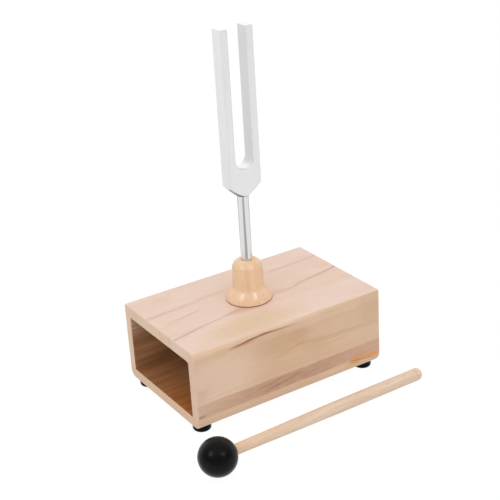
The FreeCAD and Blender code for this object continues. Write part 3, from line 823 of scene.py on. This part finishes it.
def box_wood(name, pith, seed):
    """One board of the box, with the looks of the side of the box that each of its faces is part of;
    those tones by side are partly painted light and shade.
    """
    wood = Graph(name)
    place = wood.position()
    rings, fibres, pores = wood_grain(wood, place, pith, seed)
    clouds = wood.noise(wood.stretched(place, CLOUD_LENGTHS, seed + 3), 2.0, 0.5)
    clouds = wood.rise(clouds, 0.35, 0.65)
    normal = wood.split(wood.normal())

    # the tones by side are each side's own colour and partly painted light and shade
    top = top_face(wood, place, wood.blend(clouds, TOP_TONE, TOP_DEEPER))
    front = front_face(wood, place, wood.blend(clouds, FRONT_TONE, FRONT_DEEPER))
    side = wood.blend(clouds, SIDE_TONE, TOP_DEEPER)
    end = wood.blend(clouds, END_TONE, END_DEEPER)
    low = wood.rise(wood.split(place)[2], END_LOW_FROM, END_LOW_TO, 0.0, 0.6)
    end = wood.blend(low, end, END_LOW)
    faces_front = wood.rise(wood.times(normal[1], -1.0), 0.25, 0.75)
    faces_top = wood.rise(normal[2], 0.25, 0.75)
    faces_end = wood.rise(wood.calc("ABSOLUTE", normal[0]), 0.3, 0.8)
    inside = inside_box(wood, place)
    colour = wood.layered(side, (
        (faces_top, top),
        (faces_front, front),
        (faces_end, end),
        (inside, inside_wood_and_shade(wood, place, clouds, seed)),
    ))

    line = wood.blend(inside, GRAIN_LINE, RAW_LINE)
    contrast = wood.value_mix(faces_top, RINGS_ELSEWHERE, RINGS_ON_TOP)
    colour = wood.layered(colour, (
        (wood.times(wood.rise(rings, 0.56, 0.76), contrast), line),
        (wood.rise(fibres, 0.25, 0.75, 0.0, FIBRES_ON_BOX), line),
        (wood.times(pores, PORES_ON_BOX), line),
    ))
    satin(wood, colour, wood.calc("SUBTRACT", fibres, pores))
    return wood.material


def inside_wood_and_shade(wood, place, clouds, seed):
    """The inside: a darker tone that is partly painted shade, with more painted shade towards the
    closed end, streaked along the grain, and a painted patch of light high up near the opening.

    The floor is more orange near the opening and towards the front, and the walls are darker low down.
    """
    x, y, z = wood.split(place)
    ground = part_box("end_board")[0].z / MM
    floor = wood.rise(z, ground + 1.0, ground + 0.2)
    # painted shade, deeper towards the closed end and a quarter as strong on the floor
    depth = wood.times(wood.rise(x, *DEPTH_SHADE_X), wood.value_mix(floor, 1.0, 0.25))
    clouds_and_depth_shade = wood.calc("MAXIMUM", wood.times(clouds, 0.6), depth)
    # painted light, high up near the opening
    lit_corner = wood.times(wood.rise(x, *LIT_CORNER_X), wood.rise(z, *LIT_CORNER_Z, 0.0, 0.7))
    low_wall = wood.rise(z, LOW_WALL_TOP, ground + 1.0, 0.0, 0.4)
    low_wall = wood.times(low_wall, wood.rise(floor, 1.0, 0.0))
    near_floor = wood.times(floor, wood.rise(x, *NEAR_FLOOR_X, 0.15, 0.9))
    floor_tone = wood.blend(wood.rise(y, *ORANGE_FLOOR_Y), RAW_FLOOR, RAW_FLOOR_ORANGE)
    streaks = wood.noise(wood.stretched(place, RAW_STREAK_LENGTHS, seed + 4), 2.0, 0.55)
    # the base tone is partly painted shade
    return wood.layered(INSIDE_TONE_AND_SHADE, (
        (clouds_and_depth_shade, INSIDE_DEEPER_AND_SHADE),
        (lit_corner, RAW_LIT),
        (low_wall, RAW_LOW),
        (near_floor, floor_tone),
        (wood.rise(streaks, 0.42, 0.62, 0.0, 0.4), RAW_STREAK),
    ))


def inside_box(wood, place):
    """One on the faces of the cavity, zero on the rest of the box."""
    low, high = node_box("end_board")
    x, y, z = wood.split(place)
    across = wood.calc("LESS_THAN", wood.calc("ABSOLUTE", y), high.y + INSIDE_EDGE)
    above = wood.calc("GREATER_THAN", z, low.z - INSIDE_EDGE)
    below = wood.calc("LESS_THAN", z, high.z + INSIDE_EDGE)
    ahead = wood.calc("LESS_THAN", x, high.x - OUTER_FACE)
    return wood.times(wood.times(across, ahead), wood.times(above, below))


def satin(wood, colour, height):
    """Sanded wood under a thin clear coat."""
    wood.set("Base Color", colour)
    wood.set("Roughness", wood.rise(height, 0.0, 1.0, 0.5, 0.6))
    wood.set("Normal", wood.relief(height, 0.03))
    wood.set("Specular IOR Level", 0.3)
    wood.set("Coat Weight", 0.08)
    wood.set("Coat Roughness", 0.35)


BELL_GLUE_AND_SHADOW_LOW = 0.3          # the dark line of glue and painted contact shadow fades out between these heights above the foot
BELL_GLUE_AND_SHADOW_HIGH = 1.1


def bell_wood():
    """Turned and lacquered, orange-tan, with fine upright grain and a dark line at its foot, which is
    glue and painted contact shadow.
    """
    wood = Graph("bell_wood")
    x, y, z = wood.split(wood.position())
    place = wood.join(z, x, y)
    rings, fibres, pores = wood_grain(wood, place, (34.0, 9.0), 7.0, warp=0.8, ring=6.0)
    streaks = wood.noise(wood.stretched(place, (90.0, 1.0, 1.0), 10.0), 2.0, 0.5)
    clouds = wood.noise(wood.stretched(place, (60.0, 7.0, 7.0), 9.0), 2.0, 0.5)
    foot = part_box("bell_socket")[0].z / MM
    colour = wood.layered(shade(243, 208, 172), (
        (wood.rise(clouds, 0.35, 0.65), shade(238, 198, 158)),
        (wood.rise(rings, 0.5, 0.75, 0.0, 0.1), shade(208, 154, 110)),
        (wood.rise(streaks, 0.4, 0.75, 0.0, 0.2), shade(208, 154, 108)),
        (wood.rise(fibres, 0.3, 0.75, 0.0, 0.12), shade(206, 152, 110)),
        (wood.times(pores, 0.15), shade(176, 120, 80)),
        # glue and painted contact shadow at the foot
        (wood.rise(z, foot + BELL_GLUE_AND_SHADOW_LOW, foot + BELL_GLUE_AND_SHADOW_HIGH, 0.9, 0.0), shade(122, 74, 32)),
    ))
    wood.set("Base Color", colour)
    wood.set("Roughness", wood.rise(fibres, 0.2, 0.8, 0.34, 0.42))
    wood.set("Normal", wood.relief(wood.calc("SUBTRACT", fibres, pores), 0.012))
    wood.set("Specular IOR Level", 0.4)
    wood.set("Coat Weight", 0.32)
    wood.set("Coat Roughness", 0.24)
    return wood.material


NEAR_BALL = (16.0, 75.0)     # from the ball's middle, where the handle's orange fades out
TURNED_LINE = (201.0, 201.4)  # a faint line left by the lathe


def handle_wood(origin, axes):
    """Pale dowel with thin dark flecks, more orange near the ball. The first axis is its length."""
    wood = Graph("handle_wood")
    place = wood.measured(wood.position(), origin, axes)
    along, _, _ = wood.split(place)
    rings, fibres, pores = wood_grain(wood, place, (11.0, 4.0), 13.0, warp=1.5, ring=4.0)
    clouds = wood.noise(wood.stretched(place, (34.0, 3.5, 3.5), 14.0), 2.0, 0.5)
    flecks = wood.noise(wood.stretched(place, (7.0, 0.5, 0.5), 15.0), 1.0, 0.4)
    turned = wood.times(wood.within(along, *TURNED_LINE, 0.5), 0.25)
    colour = wood.layered(shade(233, 209, 186), (
        (wood.rise(clouds, 0.35, 0.65), shade(229, 199, 172)),
        (wood.rise(along, *NEAR_BALL, 0.45, 0.0), shade(232, 190, 152)),
        (wood.rise(rings, 0.5, 0.75, 0.0, 0.2), shade(208, 160, 124)),
        (wood.rise(fibres, 0.3, 0.75, 0.0, 0.18), shade(206, 158, 122)),
        (wood.rise(flecks, 0.66, 0.76, 0.0, 0.5), shade(150, 100, 66)),
        (turned, shade(190, 150, 122)),
    ))
    satin(wood, colour, wood.calc("SUBTRACT", fibres, pores))
    return wood.material


# Materials: metal and rubber ------------------------------------

SLOT_WIDTH = 16.3            # between the fork's tines
SLOT_MARGIN = 0.1


def satin_aluminium():
    """Fine satin, darker on the side faces in the slot between the tines, and with painted shade,
    darker and bluer, on the faces that point down.
    """
    metal = Graph("satin_aluminium")
    place = metal.position()
    brushed = metal.noise(metal.stretched(place, (0.22, 0.22, 9.0)), 3.0, 0.6)
    blotch = metal.noise(metal.stretched(place, (9.0, 9.0, 22.0), 2.0), 2.0, 0.5)
    across = metal.calc("ABSOLUTE", metal.split(place)[0])
    normal = metal.split(metal.normal())
    sideways = metal.rise(metal.calc("ABSOLUTE", normal[0]), 0.6, 0.95, 0.0, 0.6)
    between = metal.calc("LESS_THAN", across, SLOT_WIDTH / 2 + SLOT_MARGIN)
    colour = metal.layered(shade(232, 232, 233), (
        (blotch, shade(240, 240, 240)),
        (metal.times(between, sideways), shade(212, 212, 212)),
        # painted shade: faces that point down are darker and bluer
        (metal.rise(normal[2], -0.3, -0.7), shade(150, 156, 164)),
    ))
    metal.set("Metallic", 1.0)
    metal.set("Base Color", colour)
    metal.set("Roughness", metal.rise(brushed, 0.2, 0.8, 0.34, 0.44))
    metal.set("Normal", metal.relief(brushed, 0.004))
    return metal.material


def polished_steel():
    """Nearly a mirror, with fine marks round the rod."""
    metal = Graph("polished_steel")
    place = metal.position()
    rubbed = metal.noise(metal.stretched(place, (4.0, 4.0, 0.12)), 2.0, 0.6)
    metal.set("Metallic", 1.0)
    metal.set("Base Color", metal.blend(rubbed, shade(224, 222, 222), shade(235, 233, 233)))
    metal.set("Roughness", metal.rise(rubbed, 0.2, 0.8, 0.1, 0.18))
    metal.set("Normal", metal.relief(rubbed, 0.0015))
    return metal.material


def zinc():
    """Plated steel, slightly yellow and uneven."""
    metal = Graph("zinc")
    spots = metal.noise(metal.stretched(metal.position(), (0.9, 0.9, 0.9)), 3.0, 0.6)
    metal.set("Metallic", 1.0)
    metal.set("Base Color", metal.blend(spots, shade(196, 196, 190), shade(214, 213, 205)))
    metal.set("Roughness", metal.rise(spots, 0.2, 0.8, 0.28, 0.45))
    return metal.material


def rubber(name, colour, roughness, grain, gloss):
    """Black rubber with a little dust. The grain is the depth of its fine bumps in millimetres."""
    material = Graph(name)
    place = material.position()
    dust = material.noise(material.stretched(place, (6.0, 6.0, 6.0)), 4.0, 0.7)
    skin = material.noise(material.stretched(place, (0.35, 0.35, 0.35), 3.0), 2.0, 0.6)
    dusty = (*(channel * 1.3 + 0.0006 for channel in colour[:3]), 1.0)
    material.set("Base Color", material.blend(material.rise(dust, 0.45, 0.8), colour, dusty))
    material.set("Roughness", material.rise(dust, 0.2, 0.8, roughness, roughness + 0.08))
    material.set("Normal", material.relief(skin, grain))
    material.set("Specular IOR Level", gloss)
    return material.material


# Pieces ---------------------------------------------------------

EDGE_ROUND = 1.2
FRONT_ROUND_OPEN = 6.0
FRONT_ROUND_CLOSED = 1.2
BOTTOM_ROUND = 7.0
BOTTOM_ROUND_CLOSED = 3.5
COVE = 3.0
PILOT_RADIUS = 1.65
PILOT_DEPTH = 8.0
OVERCUT = 1.0


def make_box():
    """The five boards, each with its own run of grain."""
    edge = EDGE_ROUND
    square = (BREAK,) * 4
    boards = (               # node, pith, seed, radii at both ends, rounding of both ends, cove
        ("top_board", (-140.0, 96.0), 1.0,
         ((BREAK, BREAK, edge, FRONT_ROUND_OPEN), (BREAK, BREAK, edge, FRONT_ROUND_CLOSED)),
         ((edge, edge, BREAK, edge),) * 2, 0.0),
        ("bottom_board", (30.0, -46.0), 2.0, ((BOTTOM_ROUND, BOTTOM_ROUND, BREAK, BREAK),) * 2,
         ((edge, edge, edge, BREAK), (edge, edge, BOTTOM_ROUND_CLOSED, BREAK)), 0.0),
        ("front_side_board", (80.0, 120.0), 4.0, (square,) * 2, ((edge, BREAK, BREAK, BREAK),) * 2, COVE),
        ("back_side_board", (96.0, -20.0), 5.0, (square,) * 2, ((BREAK, edge, BREAK, BREAK),) * 2, 0.0),
        ("end_board", (-60.0, -40.0), 6.0, ((BREAK, BREAK, BREAK, COVE),) * 2, (square,) * 2, 0.0),
    )
    pieces = {}
    for node, pith, seed, end_radii, end_rounds, cove in boards:
        shape = board_shape(node, end_radii, end_rounds, cove)
        material = box_wood(node + "_wood", pith, seed)
        pieces[node] = add_piece(node, shape, material, "root")

    low, high = node_box("top_board")
    drill(pieces["top_board"], [(0, 0, PILOT_RADIUS, low.z - OVERCUT, high.z + OVERCUT)])
    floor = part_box("bottom_board")[0].z / MM
    spots = [foot_centre(node) for node in FEET]
    drill(pieces["bottom_board"],
          [(x, y, PILOT_RADIUS, floor - OVERCUT, floor + PILOT_DEPTH) for x, y in spots])


FEET = ("foot_front_open", "foot_back_open", "foot_front_closed", "foot_back_closed")
FOOT_ROUND = 2.0
FOOT_EDGE = 0.4
FOOT_RECESS_RADIUS = 4.4
FOOT_RECESS_DEPTH = 3.4
FOOT_HOLE_RADIUS = 1.9


def foot_centre(node):
    """The (x, y) of a foot's axis."""
    low, high = node_box(node)
    return (low.x + high.x) / 2, (low.y + high.y) / 2


def make_feet():
    """Four rubber discs, each with a recess below for its washer and screw."""
    material = rubber("foot_rubber", shade(7, 6, 6), 0.3, 0.008, 0.08)
    for node in FEET:
        low, high = node_box(node)
        radius = (high.x - low.x) / 2
        shape = lathe(profile([
            (FOOT_RECESS_RADIUS + FOOT_EDGE, low.z),
            (radius - FOOT_ROUND, low.z, FOOT_ROUND, 1),
            (radius, low.z + FOOT_ROUND),
            (radius, high.z),
            (FOOT_HOLE_RADIUS, high.z),
            (FOOT_HOLE_RADIUS, low.z + FOOT_RECESS_DEPTH),
            (FOOT_RECESS_RADIUS, low.z + FOOT_RECESS_DEPTH),
            (FOOT_RECESS_RADIUS, low.z + FOOT_EDGE, FOOT_EDGE, 1),
            (FOOT_RECESS_RADIUS + FOOT_EDGE, low.z),
        ])[:-1])
        shape = moved(shape, Matrix.Translation((*foot_centre(node), 0.0)))
        add_piece(node, shape, material, "root")


BELL_FOOT_INSET = 0.7
BELL_RIM_START = 0.73
BELL_RIM_HEIGHT = 2.2
BELL_SKIRT_CURVE = 26.4
BELL_SKIRT_RADIUS = 14.9
BELL_SKIRT_HEIGHT = 9.1
BELL_FLARE_CURVE = 7.6
BELL_NECK_RADIUS = 13.1
BELL_NECK_HEIGHT = 13.7
BELL_WALL_RADIUS = 12.5
BELL_SHOULDER_HEIGHT = 29.3
BELL_SHOULDER_CURVE = 8.0
BELL_TOP_RADIUS = 6.8
SOCKET_CLEARANCE = 0.07
SOCKET_DEPTH = 25.0
SOCKET_EDGE = 0.15
SOCKET_PILOT_DEPTH = 8.5


def make_bell():
    """The socket, turned from the screw's hole round its foot and shoulder into the stem's bore."""
    low, high = node_box("bell_socket")
    floor = high.z - SOCKET_DEPTH
    socket = stem_radius() + SOCKET_CLEARANCE
    shape = lathe(profile([
        (0.0, low.z + SOCKET_PILOT_DEPTH),
        (PILOT_RADIUS, low.z + SOCKET_PILOT_DEPTH),
        (PILOT_RADIUS, low.z),
        (high.x - BELL_FOOT_INSET, low.z),
        (high.x, low.z + BELL_RIM_START),
        (high.x, low.z + BELL_RIM_HEIGHT, BELL_SKIRT_CURVE, 1),
        (BELL_SKIRT_RADIUS, low.z + BELL_SKIRT_HEIGHT, BELL_FLARE_CURVE, -1),
        (BELL_NECK_RADIUS, low.z + BELL_NECK_HEIGHT),
        (BELL_WALL_RADIUS, low.z + BELL_SHOULDER_HEIGHT, BELL_SHOULDER_CURVE, 1),
        (BELL_TOP_RADIUS, high.z),
        (socket + SOCKET_EDGE, high.z, SOCKET_EDGE, 1),
        (socket, high.z - SOCKET_EDGE),
        (socket, floor),
        (0.0, floor),
    ]))
    add_piece("bell_socket", shape, bell_wood(), "root")


STEM_EDGE = 0.5
SPIGOT_RADIUS = 3.0
SPIGOT_LENGTH = 9.0


def stem_radius():
    """The stem stands on the Z axis, so its radius is how far it reaches along X."""
    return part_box("fork_stem")[1].x / MM


def make_stem():
    """A rod with a thinner spigot at its top, which goes into the fork's head."""
    low, high = node_box("fork_stem")
    radius = stem_radius()
    shoulder = high.z - SPIGOT_LENGTH
    shape = lathe(profile([
        (0.0, low.z),
        (radius - STEM_EDGE, low.z, STEM_EDGE, 1),
        (radius, low.z + STEM_EDGE),
        (radius, shoulder),
        (SPIGOT_RADIUS, shoulder),
        (SPIGOT_RADIUS, high.z - STEM_EDGE, STEM_EDGE, 1),
        (SPIGOT_RADIUS - STEM_EDGE, high.z),
        (0.0, high.z),
    ]))
    add_piece("fork_stem", shape, polished_steel(), "stem")


HANDLE_NECK_RADIUS = 4.25
HANDLE_RADIUS = 5.25
HANDLE_TAPER_END = 115.0
HANDLE_REACH = 207.9
HANDLE_TENON = 5.0
HANDLE_END_ROUND = 3.4
HANDLE_CLEARANCE = 0.05
MALLET_YAW = 4.0             # in degrees


def make_mallet():
    """The handle slopes down from the ball, so that both touch the table."""
    low, high = node_box("mallet_ball")
    radius = (high.y - low.y) / 2
    centre = low + Vector((radius, radius, radius))
    slope = math.asin((radius - HANDLE_RADIUS) / (HANDLE_REACH - HANDLE_END_ROUND))
    yaw = math.radians(MALLET_YAW)
    along = Vector((math.cos(slope) * math.cos(yaw), math.cos(slope) * math.sin(yaw), -math.sin(slope)))
    turn = Vector((0.0, 0.0, 1.0)).rotation_difference(along).to_matrix()
    place = Matrix.Translation(centre) @ turn.to_4x4()

    bore = HANDLE_NECK_RADIUS + HANDLE_CLEARANCE
    ball = lathe(profile([
        (0.0, -radius, radius, 1),
        (bore, math.sqrt(radius ** 2 - bore ** 2)),
        (bore, -HANDLE_TENON),
        (0.0, -HANDLE_TENON),
    ]))
    ball_rubber = rubber("ball_rubber", shade(13, 10, 12), 0.2, 0.004, 0.12)
    add_piece("mallet_ball", moved(ball, place), ball_rubber, "mallet")
    handle = lathe(profile([
        (0.0, -HANDLE_TENON),
        (HANDLE_NECK_RADIUS, -HANDLE_TENON),
        (HANDLE_NECK_RADIUS, radius),
        (HANDLE_RADIUS, HANDLE_TAPER_END),
        (HANDLE_RADIUS, HANDLE_REACH - HANDLE_END_ROUND, HANDLE_END_ROUND, 1),
        (HANDLE_RADIUS - HANDLE_END_ROUND, HANDLE_REACH),
        (0.0, HANDLE_REACH),
    ]))
    grain_axes = (turn.col[2], turn.col[0], turn.col[1])
    wood = handle_wood(centre, grain_axes)
    add_piece("mallet_handle", moved(handle, place), wood, "mallet")


def dress(node, material):
    """Gives a CAD node its material."""
    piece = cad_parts[node]
    piece.data.materials.clear()
    piece.data.materials.append(material)


def dress_metal():
    """The CAD nodes whose shape is right as it is."""
    dress("fork_head", satin_aluminium())
    plated = zinc()
    for node in ("foot_washers", "foot_screws", "socket_washer", "socket_screw"):
        dress(node, plated)


make_camera()
make_lights()
make_world()
make_floor()
make_cards()
make_box()
make_feet()
make_bell()
make_stem()
make_mallet()
dress_metal()
